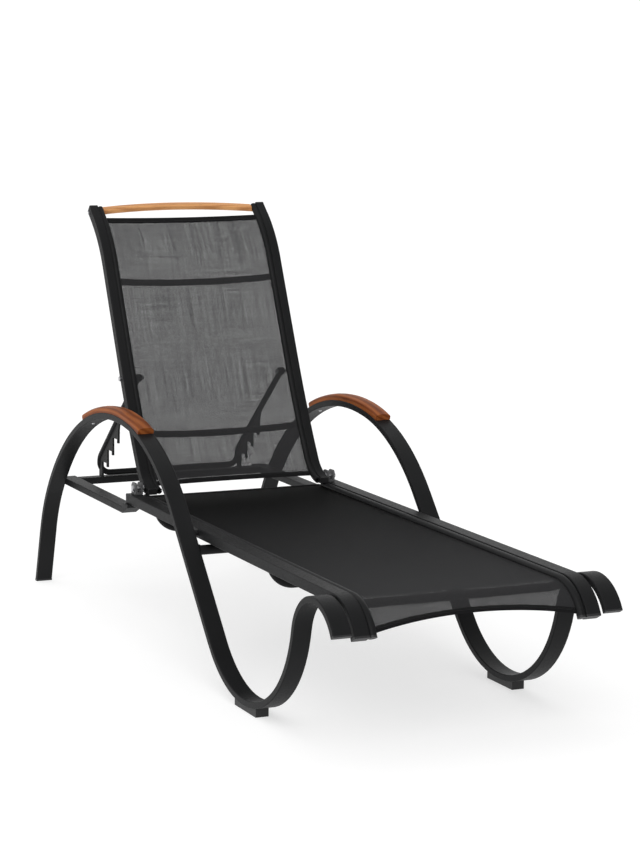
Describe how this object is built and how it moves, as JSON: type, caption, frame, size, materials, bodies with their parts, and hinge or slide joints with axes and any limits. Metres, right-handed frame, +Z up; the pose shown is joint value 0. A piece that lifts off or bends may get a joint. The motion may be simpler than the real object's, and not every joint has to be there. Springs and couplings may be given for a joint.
{
  "type": "reclining sun lounger",
  "caption": "Reclining sun lounger with a bent flat-tube frame, a mesh sling seat and backrest, wooden arm caps and a notched support bail.",
  "frame": {"origin": "centre of the footprint at floor level, with the backrest at its most upright", "axes": "+Z up, +Y from the foot end to the head end, +X to the right hand of a person lying on it facing up with the head at +Y"},
  "size_m": [0.7, 2.0467, 1.0713],
  "materials": {
    "powder_coat": "satin dark charcoal powder coat",
    "sling_mesh": "open weave of PVC-coated yarn",
    "teak": "oiled, fine straight grain",
    "black_plastic": "fine moulded texture",
    "grey_nylon": "moulded, matte",
    "stainless_steel": "brushed"
  },
  "bodies": {
    "frame": {"side_frame_left": "powder_coat", "side_frame_right": "powder_coat", "front_foot_left": "black_plastic", "front_foot_right": "black_plastic", "rear_foot_left": "black_plastic", "rear_foot_right": "black_plastic", "nose_plug_left": "black_plastic", "nose_plug_right": "black_plastic", "teak_arm_left": "teak", "teak_arm_right": "teak", "arm_screws": "stainless_steel", "front_foot_screws": "stainless_steel", "seat_rail_left": "powder_coat", "seat_rail_right": "powder_coat", "seat_rail_cap_left": "black_plastic", "seat_rail_cap_right": "black_plastic", "seat_spacers": "powder_coat", "seat_sling": "sling_mesh", "seat_spline_left": "black_plastic", "seat_spline_right": "black_plastic", "seat_bow_rear": "powder_coat", "seat_bow_middle": "powder_coat", "seat_bow_front": "powder_coat", "leg_crosstube": "powder_coat", "rear_rail_left": "powder_coat", "rear_rail_right": "powder_coat", "rear_rail_plugs": "black_plastic", "rear_crossbar": "powder_coat", "seat_rear_plugs": "black_plastic", "rear_gusset_left": "powder_coat", "rear_gusset_right": "powder_coat", "hinge_bracket_left": "grey_nylon", "hinge_bracket_right": "grey_nylon", "hinge_bolts": "stainless_steel"},
    "backrest": {"back_rail_left": "powder_coat", "back_rail_right": "powder_coat", "back_foot_plugs": "black_plastic", "back_top_plugs": "black_plastic", "hinge_bushes": "black_plastic", "teak_top_bar": "teak", "top_bar_screws": "stainless_steel", "back_bow_upper": "powder_coat", "back_bow_lower": "powder_coat", "back_rail_clips": "black_plastic", "back_sling": "sling_mesh", "back_spline_left": "black_plastic", "back_spline_right": "black_plastic", "bail_pivot_bolts": "stainless_steel"},
    "support_bail": {"bail_tube": "powder_coat", "notch_plate_left": "powder_coat", "notch_plate_right": "powder_coat", "bail_eyes": "powder_coat"}
  },
  "joints": [
    {"name": "backrest_recline", "type": "hinge", "parent": "frame", "child": "backrest", "pos_m": [0, 0.385, 0.363], "axis": [-1, 0, 0], "range_deg": [0, 58]},
    {"name": "bail_swing", "type": "hinge", "parent": "backrest", "child": "support_bail", "pos_m": [0, 0.5635, 0.6265], "axis": [1, 0, 0], "range_deg": [0, 94]}
  ],
  "couplings": [
    {"joint": "bail_swing", "follows": "backrest_recline", "ratio": 1.62}
  ]
}
